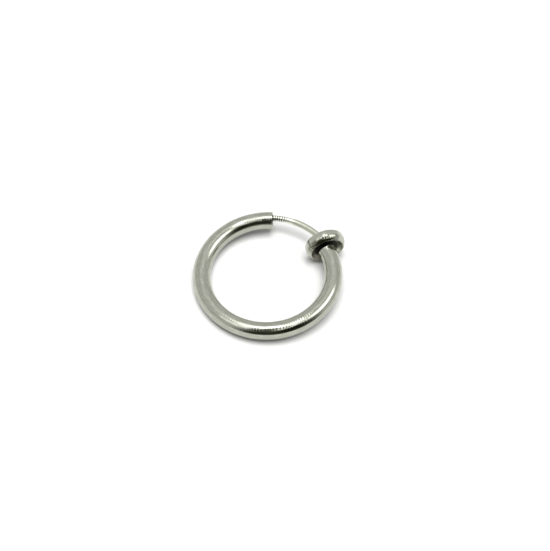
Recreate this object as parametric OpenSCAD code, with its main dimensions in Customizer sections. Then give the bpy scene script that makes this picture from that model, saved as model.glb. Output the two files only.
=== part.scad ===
// A clip-on hoop that looks like a piercing ring: a thin steel tube bent into an open hoop,
// a wire that slides in the tube's open mouth, and a dished cap on the wire's end that closes
// over the tube's other end. The hoop lies on its side, propped up by the cap's lip.
// Angles run anticlockwise round the hoop, seen from above, from the +X side.

/* [Hoop] */
// Outside diameter of the hoop
hoop_od = 13; // [12:0.5:16]
// Outside diameter of the tube that the hoop is bent from
tube_d = 1.54; // [1.46:0.02:1.6]
// Wall thickness of the tube
tube_wall = 0.2; // [0.16:0.01:0.22]
// Where the tube's tip ends, in the mouth of the cap's dish
tip_deg = 27; // [26:0.5:28]
// Where the tube's open mouth lets the wire out
mouth_deg = 88.5; // [80:0.5:100]

/* [Sliding wire] */
// Diameter of the wire
wire_d = 0.58; // [0.54:0.02:0.6]
// Running clearance between the wire and the outer side of the tube's bore
slide_gap = 0.03; // [0.02:0.01:0.05]
// How far the wire reaches into the tube past its mouth, as an angle
hidden_deg = 70; // [50:5:90]

/* [Cap] */
// Outside diameter of the cap
cap_d = 3.56; // [3.4:0.02:3.8]
// Thickness of the cap from its lip to its back
cap_t = 1.25; // [1.2:0.01:1.4]
// Radius of the lip, which rounds the whole front of the cap
lip_round = 0.75; // [0.6:0.05:0.75]
// Radius of the edge round the cap's back
back_round = 0.3; // [0.2:0.05:0.4]
// Diameter of the mouth of the dish that the tube's tip stands in
dish_d = 2.9; // [2.7:0.02:3]
// Diameter of the dish's floor, to which its side slopes in
dish_floor_d = 2.2; // [2:0.05:2.4]
// Depth of the dish's floor behind the cap's foremost plane
dish_depth = 0.5; // [0.4:0.02:0.54]
// The cap's axis is the line that touches the tube's centreline at this angle
cap_line_deg = 20.4; // [20:0.1:21]
// Distance from that touching point along the line to the cap's lip
cap_front = 0.53; // [0.5:0.01:0.56]
// How deep the wire's end is set in the cap's back
socket_depth = 0.5; // [0.4:0.05:0.55]
// Clearance round the wire's end in the cap
seat_gap = 0.01; // [0.005:0.005:0.02]

/* [Position] */
// The side on which the hoop stands highest as it lies
lean_deg = 31; // [28:1:38]
// How far the cap is slid back from the tube's tip
slide_deg = 0; // [0:1:46]

/* [Hidden] */
$fn = 96;
// A cutter reaches this far past what it cuts
over = 0.5;

hoop_r = (hoop_od - tube_d) / 2;
tube_r = tube_d / 2;
bore_r = tube_r - tube_wall;
wire_r = wire_d / 2;
// The wire runs against the outer side of the bore
wire_path_r = hoop_r + bore_r - wire_r - slide_gap;

cap_r = cap_d / 2;
dish_r = dish_d / 2;
// The dish's mouth opens in the lip's round, a little behind the foremost plane
mouth_depth = lip_round - sqrt(pow(lip_round, 2) - pow(dish_r - cap_r + lip_round, 2));
// The wire's end, where its path crosses the depth of its socket
wire_end_deg = cap_line_deg + asin((cap_front + cap_t - socket_depth) / wire_path_r);
// The gap at the socket's floor, as an angle
floor_gap_deg = seat_gap / wire_path_r * 180 / PI;
// The cap's widest circle: its distance from the hoop's centre and its angle
wide_r = norm([hoop_r, cap_front + lip_round]);
wide_deg = cap_line_deg + atan2(cap_front + lip_round, hoop_r);

// Lying down, the hoop touches the floor with the cap's widest circle and the tube's far side
rest_tilt = asin((cap_r - tube_r) / (hoop_r + wide_r * cos(wide_deg - lean_deg)));
centre_h = tube_r + hoop_r * sin(rest_tilt);

// Stands the flat hoop in its place on the floor
module lying() {
    translate([0, 0, centre_h])
        rotate([0, 0, lean_deg])
            rotate([0, -rest_tilt, 0])
                rotate([0, 0, -lean_deg])
                    children();
}

// A round bar of radius r bent round the hoop's centre
module bent_bar(path_r, r, from_deg, to_deg) {
    rotate_extrude(angle = to_deg - from_deg, start = from_deg)
        translate([path_r, 0])
            circle(r = r);
}

module hoop_tube() {
    color("silver")
        lying()
            rotate_extrude(angle = tip_deg + 360 - mouth_deg, start = mouth_deg)
                translate([hoop_r, 0])
                    difference() {
                        circle(r = tube_r);
                        circle(r = bore_r);
                    }
}

module slide_wire() {
    color("gainsboro")
        lying()
            rotate([0, 0, slide_deg])
                bent_bar(wire_path_r, wire_r, wire_end_deg, mouth_deg + hidden_deg);
}

// A quarter of a disc, for a rounded corner of the cap's outline
module corner(r, turn) {
    intersection() {
        circle(r = r);
        rotate(turn)
            square(r + over);
    }
}

// Half of the cap's section: its front lies on the X axis and its axis on the Y axis
module cap_section() {
    difference() {
        union() {
            square([cap_r - lip_round, cap_t]);
            translate([cap_r - lip_round, lip_round])
                corner(lip_round, -90);
            translate([0, lip_round])
                square([cap_r - back_round, cap_t - lip_round]);
            translate([0, lip_round])
                square([cap_r, cap_t - lip_round - back_round]);
            translate([cap_r - back_round, cap_t - back_round])
                corner(back_round, 0);
        }
        polygon([
            [0, -over],
            [dish_r, -over],
            [dish_r, mouth_depth],
            [dish_floor_d / 2, dish_depth],
            [0, dish_depth]
        ]);
    }
}

module end_cap() {
    color("silver")
        lying()
            rotate([0, 0, slide_deg])
                difference() {
                    rotate([0, 0, cap_line_deg])
                        translate([hoop_r, cap_front, 0])
                            rotate([-90, 0, 0])
                                rotate_extrude()
                                    cap_section();
                    bent_bar(wire_path_r, wire_r + seat_gap,
                             wire_end_deg - floor_gap_deg, mouth_deg);
                }
}

hoop_tube();
slide_wire();
end_cap();
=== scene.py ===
import math
from collections import namedtuple

import bmesh
import bpy
import numpy as np
from mathutils import Matrix, Vector


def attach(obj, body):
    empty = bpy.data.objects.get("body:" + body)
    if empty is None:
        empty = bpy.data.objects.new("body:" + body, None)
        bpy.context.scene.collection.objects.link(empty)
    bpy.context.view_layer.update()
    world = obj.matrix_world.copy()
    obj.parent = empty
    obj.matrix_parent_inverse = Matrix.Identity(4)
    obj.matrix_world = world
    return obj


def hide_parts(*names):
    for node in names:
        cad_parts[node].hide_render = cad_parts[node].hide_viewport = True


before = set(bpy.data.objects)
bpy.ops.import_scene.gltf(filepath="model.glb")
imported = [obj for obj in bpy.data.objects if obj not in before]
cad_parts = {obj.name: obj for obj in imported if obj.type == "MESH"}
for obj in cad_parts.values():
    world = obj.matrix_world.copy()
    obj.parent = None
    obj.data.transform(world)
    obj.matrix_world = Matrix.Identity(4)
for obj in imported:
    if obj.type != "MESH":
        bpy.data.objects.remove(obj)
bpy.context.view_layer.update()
scene = bpy.context.scene

# Sizes of the real object, in millimetres and degrees, the same as the CAD's

HOOP_R = 5.73
TUBE_R = 0.77
BORE_R = 0.57
TIP_DEG = 27.0
MOUTH_DEG = 88.5
WIRE_R = 0.29
WIRE_PATH_R = 5.98
HIDDEN_DEG = 70.0
CAP_R = 1.78
CAP_T = 1.25
LIP_ROUND = 0.75
BACK_ROUND = 0.3
DISH_R = 1.45
DISH_FLOOR_R = 1.1
DISH_DEPTH = 0.5
CAP_LINE_DEG = 20.4
CAP_FRONT = 0.53
SOCKET_DEPTH = 0.5
SEAT_GAP = 0.01
LEAN_DEG = 31.0
SOCKET_FLOOR = CAP_FRONT + CAP_T - SOCKET_DEPTH
WIRE_END_DEG = CAP_LINE_DEG + math.degrees(math.asin(SOCKET_FLOOR / WIRE_PATH_R))

# Details that are too fine for the CAD, in millimetres

# The tube's cut edges are rounded with this radius, and the flat end face starts a step further
EDGE = 0.035
EDGE_STEP = 0.012
# The tube's tip is spread by this much over its last stretch
FLARE = 0.05
FLARE_LONG = 0.5
# Ripples that bending left on the tube: the pitch and the height of each kind
MOUTH_RIPPLE = (0.21, 0.009)
BROAD_RIPPLE = (0.26, 0.0009)
LONG_RIPPLE = (2.6, 0.0016)
FAR_RIPPLE = (0.24, 0.0033)
# The ripples by the mouth lose this share of their height between two distances from the mouth
MOUTH_LOSS = 0.93
MOUTH_FADE = (0.9, 3.6)
# The broad ripples swell along the tube with a sine, in radians and radians per millimetre. They have only
# the least share of their height below the first of two values of the sine, and all of it above the second.
SWELL_START = 2.2
SWELL_TURN = 0.55
SWELL_LEAST = 0.35
SWELL_SPAN = (-0.4, 0.6)
# A second rough stretch lies across the hoop from the mouth
FAR_MIDDLE = 19.6
FAR_LONG = 2.2
# The ripples come in between two distances from the mouth, and go out between two distances before the tip
PLAIN_MOUTH = (0.0, 0.15)
PLAIN_TIP = (0.2, 0.05)
# Each kind of ripple is a sum of waves. Their pitches differ by such factors, and their crests wander by so
# many radians round the section.
WAVES = 3
PITCH_SPREAD = (0.86, 1.16)
WANDER = (0.2, 0.6)
# The grooves round the wire fade out between two distances from the mouth
GROOVE_PITCH = 0.215
GROOVE_DEPTH = 0.032
GROOVE_FADE = (0.7, 2.0)
# They lie a little aslant: how far, and towards which side of the section, in radians
GROOVE_SLANT = 0.25
GROOVE_WAY = 1.0
WIRE_RIPPLE = (0.17, 0.0006)
# The wire is left plain further inside the tube than this
WIRE_MARKED = 0.4
# The dents on the cap's lip are waves: how many of each go round the cap, their height times that number, and
# how much they slant, in radians per millimetre
DENT_COUNTS = (5, 8, 11, 14, 18, 23)
DENT = 0.05
DENT_SLANT = (1.5, 6.0)
# The lathe's chatter on the lip is stronger in three stretches. Its lines waver, in radians and radians per
# millimetre.
CHATTER = 0.003
CHATTER_LINES = 60
CHATTER_STRETCHES = 3
CHATTER_START = -2.6
CHATTER_WAVER = 0.8
CHATTER_WAVER_TURN = 3
# The marks on the lip start and end between these distances from the dish's edge and behind the cap's front
LIP_START = (0.02, 0.1)
LIP_END = (0.95, 1.2)
# Points of the cut cap nearer than this are one point
SLIVER = 0.0005

MILLIMETRE = 0.001
FULL_TURN = 2 * math.pi
ANY_PHASE = (0, 6.28)

# The hoop lies on its side, propped up by the cap's widest circle

wide_front = CAP_FRONT + LIP_ROUND
wide_r = math.hypot(HOOP_R, wide_front)
wide_deg = CAP_LINE_DEG + math.degrees(math.atan2(wide_front, HOOP_R))
wide_reach = wide_r * math.cos(math.radians(wide_deg - LEAN_DEG))
rest_tilt = math.asin((CAP_R - TUBE_R) / (HOOP_R + wide_reach))
centre_h = TUBE_R + HOOP_R * math.sin(rest_tilt)
lean = math.radians(LEAN_DEG)
LYING = (
    Matrix.Scale(MILLIMETRE, 4)
    @ Matrix.Translation((0, 0, centre_h))
    @ Matrix.Rotation(lean, 4, "Z")
    @ Matrix.Rotation(-rest_tilt, 4, "Y")
    @ Matrix.Rotation(-lean, 4, "Z")
)
HOOP_CENTRE = LYING @ Vector((0, 0, 0))
# The cap is drawn with its axis along Y and then turned round the hoop to its place
CAP_TURN = Matrix.Rotation(math.radians(CAP_LINE_DEG), 4, "Z")


# Meshes

def circle_angles(count):
    return np.linspace(0, FULL_TURN, count, endpoint=False)


def ring_points(path_r, deg, radius, count):
    """A circle round a bent bar, square to its path at deg. radius is a number or one for each point."""
    turn = math.radians(deg)
    phi = circle_angles(count)
    out = path_r + radius * np.cos(phi)
    return np.stack([out * math.cos(turn), out * math.sin(turn), radius * np.sin(phi)], axis=1)


def mesh_from_rings(name, rings, closed):
    """Joins rings of equal count with quads. Closed, the last joins the first. Open, each end gets a fan."""
    ring_count, size = len(rings), len(rings[0])
    verts = [tuple(point) for ring in rings for point in ring]
    faces = []
    for i in range(ring_count if closed else ring_count - 1):
        here, there = i * size, (i + 1) % ring_count * size
        for j in range(size):
            k = (j + 1) % size
            faces.append((here + j, there + j, there + k, here + k))
    if not closed:
        for start, flip in ((0, False), ((ring_count - 1) * size, True)):
            centre = len(verts)
            verts.append(tuple(np.mean(rings[start // size], axis=0)))
            for j in range(size):
                k = (j + 1) % size
                fan = (centre, start + j, start + k)
                faces.append(fan[::-1] if flip else fan)
    mesh = bpy.data.meshes.new(name)
    mesh.from_pydata(verts, [], faces)
    mesh.update()
    bm = bmesh.new()
    bm.from_mesh(mesh)
    bmesh.ops.recalc_face_normals(bm, faces=bm.faces)
    for face in bm.faces:
        face.smooth = True
    bm.to_mesh(mesh)
    bm.free()
    return mesh


def add_object(name, data):
    obj = bpy.data.objects.new(name, data)
    scene.collection.objects.link(obj)
    return obj


def smooth_step(x, low, high):
    """0 up to low, 1 past high."""
    share = np.clip((np.asarray(x, float) - low) / (high - low), 0, 1)
    return share * share * (3 - 2 * share)


def quarter(steps):
    """Cosine and sine from 0 to 90 degrees."""
    turn = np.linspace(0, math.pi / 2, steps + 1)
    return list(zip(np.cos(turn), np.sin(turn)))


rng = np.random.default_rng(7)


def ripple(mm, phi, pitch, height):
    """Marks across a bent bar: near-regular waves along it, whose crests wander round its section."""
    total = np.zeros((len(mm), len(phi)))
    for _ in range(WAVES):
        own_pitch = pitch * rng.uniform(*PITCH_SPREAD)
        start = rng.uniform(0, FULL_TURN)
        wander = sum(rng.uniform(*WANDER) * np.sin(k * phi + rng.uniform(*ANY_PHASE)) for k in (1, 2, 3))
        total += np.sin(FULL_TURN * mm[:, None] / own_pitch + start + wander[None, :])
    return height * total / math.sqrt(WAVES)


def tube_marks(mm, total, phi):
    """How far the tube's surface stands out, mm from its mouth and phi round its section."""
    by_mouth = 1 - MOUTH_LOSS * smooth_step(mm, *MOUTH_FADE)
    swell = smooth_step(np.sin(mm * SWELL_TURN + SWELL_START), *SWELL_SPAN)
    swell = SWELL_LEAST + (1 - SWELL_LEAST) * swell
    across = np.exp(-((mm - FAR_MIDDLE) / FAR_LONG) ** 2)
    marks = ripple(mm, phi, *MOUTH_RIPPLE) * by_mouth[:, None]
    marks += ripple(mm, phi, *BROAD_RIPPLE) * swell[:, None]
    marks += ripple(mm, phi, *LONG_RIPPLE)
    marks += ripple(mm, phi, *FAR_RIPPLE) * across[:, None]
    before_tip, at_tip = PLAIN_TIP
    ends = smooth_step(mm, *PLAIN_MOUTH) * (1 - smooth_step(mm, total - before_tip, total - at_tip))
    spread = FLARE * np.clip(1 - (total - mm) / FLARE_LONG, 0, 1) ** 2
    return marks * ends[:, None] + spread[:, None]


def cut_end(end_deg, inward, outer_r, count):
    """Rings over a cut end of the tube, from the bore outwards. inward is 1 or -1, the way into the tube."""
    edge_deg = math.degrees(EDGE / HOOP_R)
    flat = EDGE + EDGE_STEP
    corner = quarter(4)
    line = [(edge_deg * (1 - s), BORE_R + EDGE * (1 - c)) for c, s in corner]
    line += [(0, BORE_R + flat), (0, outer_r - flat)]
    line += [(edge_deg * (1 - c), outer_r - EDGE + EDGE * s) for c, s in corner]
    return [ring_points(HOOP_R, end_deg + inward * deg, radius, count) for deg, radius in line]


def build_tube():
    count = 72
    # Degrees between the rings of the outer surface and of the bore, and from the mouth to the bore's nearest
    outer_step, bore_step, bore_gap = 0.3, 2.5, 1.0
    tip_deg = TIP_DEG + 360
    edge_deg = math.degrees(EDGE / HOOP_R)
    degs = np.arange(MOUTH_DEG + edge_deg, tip_deg - edge_deg, outer_step)
    mm = np.radians(degs - MOUTH_DEG) * HOOP_R
    total = math.radians(tip_deg - MOUTH_DEG) * HOOP_R
    marks = tube_marks(mm, total, circle_angles(count))
    rings = cut_end(MOUTH_DEG, 1, TUBE_R, count)
    # The mouth's last ring is the outer surface's first
    for deg, mark in zip(degs[1:], marks[1:]):
        rings.append(ring_points(HOOP_R, deg, TUBE_R + mark, count))
    rings += cut_end(tip_deg, -1, TUBE_R + FLARE, count)[::-1]
    for deg in np.arange(tip_deg - bore_step, MOUTH_DEG + bore_gap, -bore_step):
        rings.append(ring_points(HOOP_R, deg, BORE_R, count))
    mesh = mesh_from_rings("hoop_tube_fine", rings, closed=True)
    mesh.transform(LYING)
    return add_object("hoop_tube_fine", mesh)


def build_wire():
    count = 48
    phi = circle_angles(count)
    tail_deg = MOUTH_DEG + HIDDEN_DEG
    # The rings lie closest together along the grooves: from, to and step, in degrees
    fine_from, fine_to = MOUTH_DEG - 20, MOUTH_DEG + 3
    stretches = (
        (WIRE_END_DEG + 0.4, fine_from, 0.25),
        (fine_from, fine_to, 0.1),
        (fine_to, tail_deg - 0.3, 1.5),
    )
    degs = np.concatenate([np.arange(*stretch) for stretch in stretches])
    mm = np.radians(MOUTH_DEG - degs) * WIRE_PATH_R
    turn = math.pi * mm[:, None] / GROOVE_PITCH + GROOVE_SLANT * np.sin(phi + GROOVE_WAY)[None, :]
    grooves = -GROOVE_DEPTH * (1 - np.abs(np.sin(turn))) * (1 - smooth_step(mm, *GROOVE_FADE))[:, None]
    fine = ripple(mm, phi, *WIRE_RIPPLE) * (mm > 0)[:, None]
    marks = (grooves + fine) * (mm > -WIRE_MARKED)[:, None]
    # The rounded ends: degrees from the end, and the share of the wire's radius
    tip = ((0, 0.3), (0, 0.9), (0.05, 0.97), (0.15, 1.0))
    tail = ((0.1, 0.985), (0, 0.9), (0, 0.3))
    rings = [ring_points(WIRE_PATH_R, WIRE_END_DEG + deg, WIRE_R * share, count) for deg, share in tip]
    for deg, mark in zip(degs, marks):
        rings.append(ring_points(WIRE_PATH_R, deg, WIRE_R + mark, count))
    rings += [ring_points(WIRE_PATH_R, tail_deg - deg, WIRE_R * share, count) for deg, share in tail]
    mesh = mesh_from_rings("slide_wire_fine", rings, closed=False)
    mesh.transform(LYING)
    return add_object("slide_wire_fine", mesh)


def cap_profile():
    """(radius, depth) points from the axis in the dish, round the lip and rim, to the axis on the back."""
    middle = CAP_R - LIP_ROUND
    cut = math.acos((DISH_R - middle) / LIP_ROUND)
    mouth = LIP_ROUND - LIP_ROUND * math.sin(cut)
    # The fillet round the dish's floor and the crisp edge of its mouth: steps outwards and deeper
    fillet = ((-0.04, -0.006), (0.005, -0.035))
    crisp = ((-0.016, 0.02), (-0.003, 0.006), (0.012, 0.008))
    side_steps, lip_steps, back_steps = 10, 28, 12
    points = [(radius, DISH_DEPTH) for radius in (0.12, 0.4, 0.75, DISH_FLOOR_R - 0.1)]
    points += [(DISH_FLOOR_R + out, DISH_DEPTH + deeper) for out, deeper in fillet]
    for k in range(1, side_steps):
        share = k / side_steps
        radius = DISH_FLOOR_R + (DISH_R - DISH_FLOOR_R) * share
        points.append((radius, DISH_DEPTH + (mouth - DISH_DEPTH) * share))
    points += [(DISH_R + out, mouth + deeper) for out, deeper in crisp]
    for k in range(1, lip_steps + 1):
        turn = cut * (1 - k / lip_steps)
        points.append((middle + LIP_ROUND * math.cos(turn), LIP_ROUND - LIP_ROUND * math.sin(turn)))
    back_r, back_depth = CAP_R - BACK_ROUND, CAP_T - BACK_ROUND
    points += [(CAP_R, LIP_ROUND + 0.07), (CAP_R, back_depth - 0.05)]
    points += [(back_r + BACK_ROUND * c, back_depth + BACK_ROUND * s) for c, s in quarter(back_steps)]
    points += [(radius, CAP_T) for radius in (back_r - 0.05, 0.8, 0.45, 0.12)]
    return points


def cap_marks(theta, along):
    """How far the lip stands out: shallow dents, and the lathe's chatter in fine lines square to the lip."""
    marks = np.zeros((len(along), len(theta)))
    for count in DENT_COUNTS:
        wave = count * theta[None, :] + rng.uniform(*DENT_SLANT) * along[:, None] * rng.choice((-1, 1))
        marks += DENT / count * np.sin(wave + rng.uniform(*ANY_PHASE))
    strong = 0.5 + 0.5 * np.sin(CHATTER_STRETCHES * theta + CHATTER_START)
    waver = CHATTER_WAVER * np.sin(CHATTER_WAVER_TURN * along)
    lines = np.sin(CHATTER_LINES * theta[None, :] + waver[:, None])
    return marks + CHATTER * strong[None, :] * lines


def cap_body():
    """The turned cap before its socket is cut, in the plane of the flat hoop."""
    count = 432
    theta = circle_angles(count)
    line = np.array(cap_profile())
    step = np.gradient(line, axis=0)
    step /= np.linalg.norm(step, axis=1)[:, None]
    along = np.cumsum(np.hypot(*np.diff(line, axis=0, prepend=line[:1]).T))
    radii, depths = line.T
    on_lip = smooth_step(radii - DISH_R, *LIP_START) * (1 - smooth_step(depths, *LIP_END))
    marks = cap_marks(theta, along) * on_lip[:, None]
    rings = []
    for radius, depth, (step_out, step_deep), mark in zip(radii, depths, step, marks):
        # Outwards is a quarter turn from the way along the section
        ring_r = radius + step_deep * mark
        behind = CAP_FRONT + depth - step_out * mark
        rings.append(np.stack([HOOP_R + ring_r * np.cos(theta), behind, ring_r * np.sin(theta)], axis=1))
    mesh = mesh_from_rings("end_cap_fine", rings, closed=False)
    mesh.transform(CAP_TURN)
    return mesh


def socket_cutter():
    """A bent bar that cuts the blind socket for the wire's end and sticks out of the cap's back."""
    start = WIRE_END_DEG - math.degrees(SEAT_GAP / WIRE_PATH_R)
    past_cap, step, count = 50, 0.5, 48
    degs = np.arange(start, past_cap, step)
    rings = [ring_points(WIRE_PATH_R, deg, WIRE_R + SEAT_GAP, count) for deg in degs]
    return add_object("socket_cutter", mesh_from_rings("socket_cutter", rings, closed=False))


def close_slivers(mesh):
    """Closes up the slivers that a cut leaves."""
    bm = bmesh.new()
    bm.from_mesh(mesh)
    bmesh.ops.remove_doubles(bm, verts=bm.verts, dist=SLIVER)
    bmesh.ops.dissolve_degenerate(bm, edges=bm.edges, dist=SLIVER)
    bmesh.ops.triangulate(bm, faces=bm.faces)
    bm.to_mesh(mesh)
    bm.free()


def build_cap():
    cap = add_object("end_cap_fine", cap_body())
    cutter = socket_cutter()
    cut = cap.modifiers.new("socket", "BOOLEAN")
    cut.operation = "DIFFERENCE"
    cut.solver = "EXACT"
    cut.object = cutter
    bpy.context.view_layer.update()
    mesh = bpy.data.meshes.new_from_object(cap.evaluated_get(bpy.context.evaluated_depsgraph_get()))
    cap.modifiers.clear()
    cap.data = mesh
    bpy.data.objects.remove(cutter)
    close_slivers(mesh)
    for face in mesh.polygons:
        face.use_smooth = True
    sharp_deg = 40
    mesh.set_sharp_from_angle(angle=math.radians(sharp_deg))
    mesh.transform(LYING)
    return cap


# Materials

class Graph:
    """Adds nodes to a material or world. A value is a number, a vector, a colour or another node's output."""

    def __init__(self, owner):
        owner.use_nodes = True
        self.nodes = owner.node_tree.nodes
        self.links = owner.node_tree.links

    def fill(self, node, inputs):
        """Gives a node's sockets, by name or number, their values."""
        for key, value in inputs.items():
            if isinstance(value, bpy.types.NodeSocket):
                self.links.new(value, node.inputs[key])
            else:
                node.inputs[key].default_value = value

    def node(self, kind, inputs=None, **settings):
        node = self.nodes.new(kind)
        for key, value in settings.items():
            setattr(node, key, value)
        self.fill(node, inputs or {})
        return node

    def scalar(self, operation, *values):
        return self.node("ShaderNodeMath", dict(enumerate(values)), operation=operation).outputs[0]

    def product(self, first, *others):
        for value in others:
            first = self.scalar("MULTIPLY", first, value)
        return first

    def vector_node(self, operation, *values):
        return self.node("ShaderNodeVectorMath", dict(enumerate(values)), operation=operation)

    def vector(self, operation, *values):
        return self.vector_node(operation, *values).outputs["Vector"]

    def measure(self, operation, *values):
        """The result of a vector operation that gives a number, such as a length."""
        return self.vector_node(operation, *values).outputs["Value"]

    def ramp(self, value, start, end, low, high, smooth="SMOOTHSTEP"):
        """Goes from low to high while the value goes from start to end."""
        inputs = {"Value": value, "From Min": start, "From Max": end, "To Min": low, "To Max": high}
        return self.node("ShaderNodeMapRange", inputs, interpolation_type=smooth).outputs["Result"]

    def fade(self, value, start, end):
        """1 up to start, 0 past end."""
        return self.ramp(value, start, end, 1.0, 0.0)

    def mix(self, factor, first, second):
        """A number between two numbers."""
        return self.node("ShaderNodeMix", {"Factor": factor, "A": first, "B": second}).outputs["Result"]

    def mix_colour(self, factor, first, second):
        """A colour between two. A colour is a node's output or a tuple of red, green and blue."""
        first, second = ((*end, 1) if isinstance(end, tuple) else end for end in (first, second))
        inputs = {"Factor": factor, "A": first, "B": second}
        return self.node("ShaderNodeMix", inputs, data_type="RGBA").outputs["Result"]

    def noise(self, place, scale, detail=2.0, roughness=0.5):
        inputs = {"Vector": place, "Scale": scale, "Detail": detail, "Roughness": roughness}
        return self.node("ShaderNodeTexNoise", inputs).outputs["Fac"]

    def object_place(self):
        return self.node("ShaderNodeTexCoord").outputs["Object"]

    def shader(self):
        return self.nodes["Principled BSDF"]

    def overlay_finish_and_painted_light(self, mask, colour, rough):
        """Where the mask is 1 the surface takes another colour and roughness: real streaks, and painted light
        and shade.
        """
        shader = self.shader()
        keys = ("Base Color", "Roughness")
        old_colour, old_rough = (shader.inputs[key].links[0].from_socket for key in keys)
        self.fill(shader, {
            "Base Color": self.mix_colour(mask, old_colour, colour),
            "Roughness": self.mix(mask, old_rough, rough),
        })


def steel(name, colour, cloud_colour, rough, cloud_scale, grain_scale, grain_depth):
    """Polished steel, with faint clouds in its colour and polish and a fine grain in its relief.
    The scales are per metre, and the grain's depth is in metres."""
    cloud_span, rough_span, grain_strength = (0.35, 0.65), (0.75, 1.35), 0.25
    mat = bpy.data.materials.new(name)
    graph = Graph(mat)
    place = graph.object_place()
    cloud = graph.noise(place, cloud_scale, detail=8, roughness=0.7)
    share = graph.ramp(cloud, *cloud_span, 0.0, 1.0, "LINEAR")
    least, most = (rough * part for part in rough_span)
    grain = graph.noise(place, grain_scale, detail=3)
    relief = {"Strength": grain_strength, "Distance": grain_depth, "Height": grain}
    graph.fill(graph.shader(), {
        "Base Color": graph.mix_colour(share, colour, cloud_colour),
        "Roughness": graph.ramp(cloud, 0.0, 1.0, least, most, "LINEAR"),
        "Normal": graph.node("ShaderNodeBump", relief).outputs["Normal"],
        "Metallic": 1.0,
    })
    return mat


def hoop_place(graph, path_r):
    """Where a point lies on a bent bar: its angle round the hoop's centre and that round the bar's axis."""
    place = graph.vector("SUBTRACT", graph.object_place(), HOOP_CENTRE)
    x, y, z = (
        graph.measure("DOT_PRODUCT", place, (LYING @ Vector(way) - HOOP_CENTRE).normalized())
        for way in ((1, 0, 0), (0, 1, 0), (0, 0, 1))
    )
    squares = graph.scalar("ADD", graph.product(x, x), graph.product(y, y))
    out = graph.scalar("SUBTRACT", graph.scalar("SQRT", squares), path_r * MILLIMETRE)
    return graph.scalar("ARCTAN2", y, x), graph.scalar("ARCTAN2", z, out)


def cross_lines(graph, mm, pitch, start, end):
    """Lines across a bar, a pitch apart. Each fades while a sine, 0 on the line, grows from start to end."""
    wave = graph.scalar("SINE", graph.product(mm, math.pi / pitch))
    return graph.fade(graph.scalar("ABSOLUTE", wave), start, end)


def add_streaks(mat, path_r, colour, rough, share):
    """Faint drawing lines along the bar."""
    graph = Graph(mat)
    round_hoop, round_bar = hoop_place(graph, path_r)
    # The noise is drawn out along the bar, since it is denser round the bar than along it
    along_scale, round_scale, noise_span = 9.0, 5.5, (0.38, 0.62)
    place = graph.node("ShaderNodeCombineXYZ", {
        "X": graph.product(round_hoop, along_scale),
        "Y": graph.product(graph.scalar("COSINE", round_bar), round_scale),
        "Z": graph.product(graph.scalar("SINE", round_bar), round_scale),
    })
    lines = graph.noise(place.outputs[0], 1.0, detail=3)
    graph.overlay_finish_and_painted_light(graph.product(graph.fade(lines, *noise_span), share), colour, rough)


def paint_mouth_dark_reflection(mat, colour, rough):
    """Painted dark reflection by the tube's mouth: a strip along the hoop's upper side, with lines across."""
    # The strip's middle round the tube from the hoop's outer side, and its edges beside it and along the tube
    strip_deg, side_edge, along_edge = 123, (8, 13), (0.7, 1.15)
    # Lines across the strip, how far they stay sharp, and the darkening's strength between them and what they
    # add
    line_pitch, line_edge, between_lines, on_lines = 0.2, (0.5, 0.9), 0.45, 0.5
    graph = Graph(mat)
    round_hoop, round_bar = hoop_place(graph, HOOP_R)
    mm = graph.product(graph.scalar("SUBTRACT", round_hoop, math.radians(MOUTH_DEG)), HOOP_R)
    off_strip = graph.scalar("ABSOLUTE", graph.scalar("SUBTRACT", round_bar, math.radians(strip_deg)))
    strip = graph.fade(off_strip, *(math.radians(deg) for deg in side_edge))
    near = graph.fade(graph.scalar("ABSOLUTE", mm), *along_edge)
    lines = graph.product(cross_lines(graph, mm, line_pitch, *line_edge), on_lines)
    mask = graph.product(strip, near, graph.scalar("ADD", lines, between_lines))
    graph.overlay_finish_and_painted_light(mask, colour, rough)


def paint_wire_highlight_and_shade(mat, painted_highlight, bright_rough, painted_shade, dark_rough):
    """Near the tube's mouth the wire is painted bright, a painted highlight, with painted shade in the
    grooves round it.
    """
    # Where both fade, in millimetres from the mouth, and how far across a groove its painted shade reaches
    bright_edge, dark_edge, line_edge = (1.3, 2.3), (1.0, 1.9), (0.45, 0.75)
    graph = Graph(mat)
    round_hoop = hoop_place(graph, WIRE_PATH_R)[0]
    mm = graph.product(graph.scalar("SUBTRACT", math.radians(MOUTH_DEG), round_hoop), WIRE_PATH_R)
    graph.overlay_finish_and_painted_light(graph.fade(mm, *bright_edge), painted_highlight, bright_rough)
    grooves = cross_lines(graph, mm, GROOVE_PITCH, *line_edge)
    graph.overlay_finish_and_painted_light(graph.product(grooves, graph.fade(mm, *dark_edge)), painted_shade, dark_rough)


def cap_place(graph):
    """A point's depth behind the cap's foremost plane and its way out from the cap's axis, in metres."""
    front, behind = (LYING @ CAP_TURN @ Vector((HOOP_R, CAP_FRONT + depth, 0)) for depth in (0, 1))
    axis = (behind - front).normalized()
    place = graph.vector("SUBTRACT", graph.object_place(), front)
    depth = graph.measure("DOT_PRODUCT", place, axis)
    along = graph.node("ShaderNodeVectorMath", {0: axis, "Scale": depth}, operation="SCALE")
    return depth, graph.vector("SUBTRACT", place, along.outputs["Vector"])


def fade_mm(graph, value, start, end):
    """A fade over a distance, given in millimetres."""
    return graph.fade(value, start * MILLIMETRE, end * MILLIMETRE)


def one_side(graph, out, degrees, start, end):
    """1 on the side of the cap at that angle round its axis, from the hoop's outer side, and 0 away from it.
    It fades while 1 less the cosine of the angle between goes from start to end."""
    turn = math.radians(degrees)
    way = LYING @ CAP_TURN @ Vector((math.cos(turn), 0, math.sin(turn))) - HOOP_CENTRE
    facing = graph.measure("DOT_PRODUCT", graph.vector("NORMALIZE", out), way.normalized())
    return graph.fade(graph.scalar("SUBTRACT", 1.0, facing), start, end)


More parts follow.
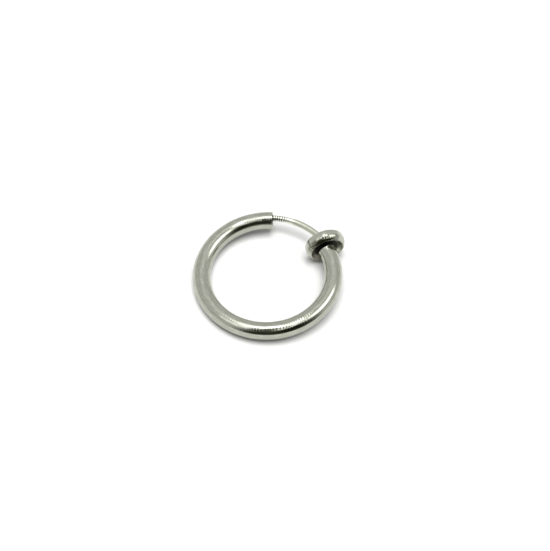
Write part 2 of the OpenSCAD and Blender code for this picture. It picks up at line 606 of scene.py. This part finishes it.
def paint_lip_dark_reflection(mat, colour, rough):
    """Painted dark reflection, blotchy, on the upper side of the lip, from the hoop's inner side to its top.
    """
    side_deg, side_edge, lip_edge = 110.0, (0.25, 0.65), (0.45, 0.7)
    blotch_scale, blotch_span = 2400, (0.47, 0.66)
    graph = Graph(mat)
    depth, out = cap_place(graph)
    blotch = graph.noise(graph.object_place(), blotch_scale, detail=5)
    side = one_side(graph, out, side_deg, *side_edge)
    mask = graph.product(side, fade_mm(graph, depth, *lip_edge), graph.fade(blotch, *blotch_span))
    graph.overlay_finish_and_painted_light(mask, colour, rough)


def paint_dish_shade(mat, painted_shade, rough, inner_r, outer_r):
    """Painted shade in the dish: dark and dull, giving way to the polish between two distances from the axis.
    """
    clear_of_back = (0.8, 0.9)
    graph = Graph(mat)
    depth, out = cap_place(graph)
    inside = fade_mm(graph, graph.measure("LENGTH", out), inner_r, outer_r)
    graph.overlay_finish_and_painted_light(graph.product(inside, fade_mm(graph, depth, *clear_of_back)), painted_shade, rough)


def paint_wall_reflection(mat, colour, rough):
    """Painted reflection: the dish's sloping side is painted lighter on the hoop's outer side."""
    side_deg, side_edge, floor_edge, lip_edge = -8.0, (0.1, 0.42), (1.12, 1.24), (1.5, 1.6)
    graph = Graph(mat)
    out = cap_place(graph)[1]
    away = graph.measure("LENGTH", out)
    clear_of_floor = graph.scalar("SUBTRACT", 1.0, fade_mm(graph, away, *floor_edge))
    side = one_side(graph, out, side_deg, *side_edge)
    mask = graph.product(clear_of_floor, side, fade_mm(graph, away, *lip_edge))
    graph.overlay_finish_and_painted_light(mask, colour, rough)


def tube_finish_and_painted_shade():
    mat = steel("tube_steel", colour=(0.475, 0.487, 0.423), cloud_colour=(0.40, 0.411, 0.35), rough=0.05,
                cloud_scale=1400, grain_scale=5000, grain_depth=0.000012)
    add_streaks(mat, HOOP_R, colour=(0.375, 0.386, 0.322), rough=0.08, share=0.85)
    # Painted dark reflection in a strip by the mouth
    paint_mouth_dark_reflection(mat, colour=(0.03, 0.03, 0.02), rough=0.2)
    return mat


def wire_finish_and_painted_light():
    mat = steel("wire_steel", colour=(0.5, 0.515, 0.43), cloud_colour=(0.46, 0.472, 0.39), rough=0.24,
                cloud_scale=1500, grain_scale=14000, grain_depth=0.000006)
    # A painted highlight on the wire by the mouth, and painted shade in its grooves
    paint_wire_highlight_and_shade(mat, painted_highlight=(0.93, 0.945, 0.85), bright_rough=0.16, painted_shade=(0.07, 0.07, 0.05), dark_rough=0.3)
    return mat


def cap_finish_and_painted_light():
    mat = steel("cap_steel", colour=(0.462, 0.474, 0.41), cloud_colour=(0.43, 0.441, 0.378), rough=0.045,
                cloud_scale=700, grain_scale=9000, grain_depth=0.000004)
    # Painted dark reflection, blotchy, on the lip's upper side
    paint_lip_dark_reflection(mat, colour=(0.17, 0.172, 0.122), rough=0.07)
    # Painted shade in the dish: a darker ring inside its mouth, and near black deeper in
    paint_dish_shade(mat, painted_shade=(0.17, 0.168, 0.13), rough=0.35, inner_r=1.38, outer_r=1.56)
    paint_dish_shade(mat, painted_shade=(0.015, 0.015, 0.01), rough=0.5, inner_r=0.95, outer_r=1.2)
    # Painted reflection, lighter, on the dish's side towards the hoop's outer side
    paint_wall_reflection(mat, colour=(0.42, 0.43, 0.35), rough=0.2)
    return mat


tube = build_tube()
wire = build_wire()
cap = build_cap()
for obj, mat, body, node, slot in (
    (tube, tube_finish_and_painted_shade(), "hoop", "hoop_tube", "tube_steel"),
    (wire, wire_finish_and_painted_light(), "slider", "slide_wire", "wire_steel"),
    (cap, cap_finish_and_painted_light(), "slider", "end_cap", "cap_steel"),
):
    obj.data.materials.clear()
    obj.data.materials.append(mat)
    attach(obj, body)
    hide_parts(node)

# Floor: matt white paper

FLOOR_HALF = 0.6


def build_floor():
    corners = [(x * FLOOR_HALF, y * FLOOR_HALF, 0) for x, y in ((-1, -1), (1, -1), (1, 1), (-1, 1))]
    mesh = bpy.data.meshes.new("floor")
    mesh.from_pydata(corners, [], [(0, 1, 2, 3)])
    mat = bpy.data.materials.new("white_paper")
    graph = Graph(mat)
    cloud_scale = 60
    cloud = graph.noise(graph.object_place(), cloud_scale)
    graph.fill(graph.shader(), {
        "Base Color": graph.mix_colour(cloud, (0.475, 0.477, 0.470), (0.465, 0.467, 0.460)),
        "Roughness": 0.9,
        "Specular IOR Level": 0.0,
    })
    mesh.materials.append(mat)
    return add_object("floor", mesh)


floor = build_floor()

# Light: a white tent with soft lamps in it and a dark front, where the photographer stands

# Soft ellipses on the dome's flat map, painted one over another. The azimuth and elevation of the middle and
# the turn of the long side are in degrees. The half lengths are in the map's units, and the edge is soft over
# that share of them, inwards and outwards.
Patch = namedtuple("Patch", "azimuth elevation long wide turn soft colour")


def grey(value):
    return (value, value, value)


DARK_FRONT = (
    Patch(-76, 26, 0.701, 0.346, 17, 0.40, (0.045, 0.047, 0.028)),
    Patch(-74, 48, 0.172, 0.404, 60, 0.52, (0.010, 0.010, 0.006)),
    Patch(-73, 66, 0.254, 0.110, 79, 0.95, (0.20, 0.20, 0.16)),
    Patch(-52, 64, 0.178, 0.107, 69, 0.23, (0.41, 0.41, 0.37)),
)
LAMPS = (
    Patch(93, 85, 0.135, 0.056, -45, 0.40, grey(8.5)),
    Patch(3, 51, 0.132, 0.181, -38, 0.40, grey(3.5)),
    Patch(-150, 55, 0.134, 0.127, 59, 0.31, grey(1.64)),
    Patch(-53, 69, 0.157, 0.076, 79, 0.60, grey(1.94)),
    Patch(157, 76, 0.050, 0.151, -20, 0.60, grey(2.63)),
)
# How bright the tent's walls and roof are, and its plain parts, and the overhead lamp on the floor
WALL_LIGHT = 0.82
ROOF_LIGHT = 1.14
PLAIN_LIGHT = 1.0
OVERHEAD_LIGHT = 4.35
# The overhead lamp's width in the sky, and its lean towards the camera
OVERHEAD_WIDE_DEG = 42
OVERHEAD_LEAN_DEG = 8
# The walls pass into the roof between these heights of the direction's unit vector
ROOF_EDGE = (0.7, 0.95)


def dome_point(azimuth, elevation):
    """A direction on the dome's flat map, with the zenith in the middle and the horizon as unit circle."""
    rho = math.tan(math.radians(90 - elevation) / 2)
    return rho * math.cos(math.radians(azimuth)), rho * math.sin(math.radians(azimuth))


def inside_patch(graph, map_x, map_y, patch):
    """1 inside the patch, 0 outside it."""
    middle_x, middle_y = dome_point(patch.azimuth, patch.elevation)
    turn = math.radians(patch.turn)
    x = graph.scalar("SUBTRACT", map_x, middle_x)
    y = graph.scalar("SUBTRACT", map_y, middle_y)
    along = graph.scalar("ADD", graph.product(x, math.cos(turn)), graph.product(y, math.sin(turn)))
    across = graph.scalar("SUBTRACT", graph.product(y, math.cos(turn)), graph.product(x, math.sin(turn)))
    u = graph.scalar("DIVIDE", along, patch.long)
    v = graph.scalar("DIVIDE", across, patch.wide)
    far = graph.scalar("SQRT", graph.scalar("ADD", graph.product(u, u), graph.product(v, v)))
    return graph.fade(far, 1 - patch.soft, 1 + patch.soft)


def build_tent():
    world = bpy.data.worlds.new("tent")
    scene.world = world
    graph = Graph(world)
    graph.nodes.clear()
    coord = graph.node("ShaderNodeTexCoord")
    way = graph.node("ShaderNodeSeparateXYZ", {0: coord.outputs["Generated"]})
    # The map's scale, kept clear of 0 straight below
    least_scale = 0.02
    map_scale = graph.scalar("MAXIMUM", graph.scalar("ADD", way.outputs["Z"], 1.0), least_scale)
    map_x = graph.scalar("DIVIDE", way.outputs["X"], map_scale)
    map_y = graph.scalar("DIVIDE", way.outputs["Y"], map_scale)
    roof = graph.ramp(way.outputs["Z"], *ROOF_EDGE, 0.0, 1.0)
    sky = graph.mix_colour(roof, grey(WALL_LIGHT), grey(ROOF_LIGHT))
    for patch in DARK_FRONT + LAMPS:
        sky = graph.mix_colour(inside_patch(graph, map_x, map_y, patch), sky, patch.colour)
    # Below the horizon, and where the camera looks past the floor, the tent is plain white
    below = graph.scalar("LESS_THAN", way.outputs["Z"], 0.0)
    sky = graph.mix_colour(below, sky, grey(PLAIN_LIGHT))
    seen = graph.node("ShaderNodeLightPath").outputs["Is Camera Ray"]
    sky = graph.mix_colour(seen, sky, grey(PLAIN_LIGHT))
    back = graph.node("ShaderNodeBackground", {"Color": sky})
    graph.node("ShaderNodeOutputWorld", {"Surface": back.outputs[0]})


def build_overhead():
    """A lamp overhead, a little towards the camera, which no reflection shows. It draws the soft shadows."""
    light = bpy.data.lights.new("overhead", "SUN")
    light.energy = OVERHEAD_LIGHT
    light.angle = math.radians(OVERHEAD_WIDE_DEG)
    lamp = add_object("overhead", light)
    lamp.rotation_euler = (math.radians(OVERHEAD_LEAN_DEG), 0, 0)
    lamp.visible_glossy = False


build_tent()
build_overhead()
scene.view_settings.view_transform = "Standard"

# Camera: as in the photograph, 550 x 551

IMAGE_W = 550
EYE_DEG = 54.52
ROLL_DEG = 3.86
DISTANCE = 0.1146
FOCAL_PX = 1317.23
# The image's middle lies this many pixels right of and below the hoop's centre
OFF_X, OFF_Y = 7.57, 1.39
SENSOR = 36


def build_camera():
    eye, roll = math.radians(EYE_DEG), math.radians(ROLL_DEG)
    # Towards the hoop's centre, and up the picture before the camera is rolled
    forward = Vector((0, math.cos(eye), -math.sin(eye)))
    level_up = Vector((0, math.sin(eye), math.cos(eye)))
    right = math.cos(roll) * Vector((1, 0, 0)) + math.sin(roll) * level_up
    up = right.cross(forward)
    # The camera's own axes, once it looks a little past the centre
    aim = (forward + right * (OFF_X / FOCAL_PX) - up * (OFF_Y / FOCAL_PX)).normalized()
    side_axis = aim.cross(up).normalized()
    up_axis = side_axis.cross(aim)
    lens = bpy.data.cameras.new("camera")
    camera = add_object("camera", lens)
    place = Vector((0, 0, centre_h * MILLIMETRE)) - DISTANCE * forward
    axes = Matrix((side_axis, up_axis, -aim)).transposed()
    camera.matrix_world = Matrix.Translation(place) @ axes.to_4x4()
    lens.sensor_fit = "HORIZONTAL"
    lens.sensor_width = SENSOR
    lens.lens = SENSOR * FOCAL_PX / IMAGE_W
    lens.clip_start = 0.001
    lens.clip_end = 10
    scene.camera = camera


build_camera()
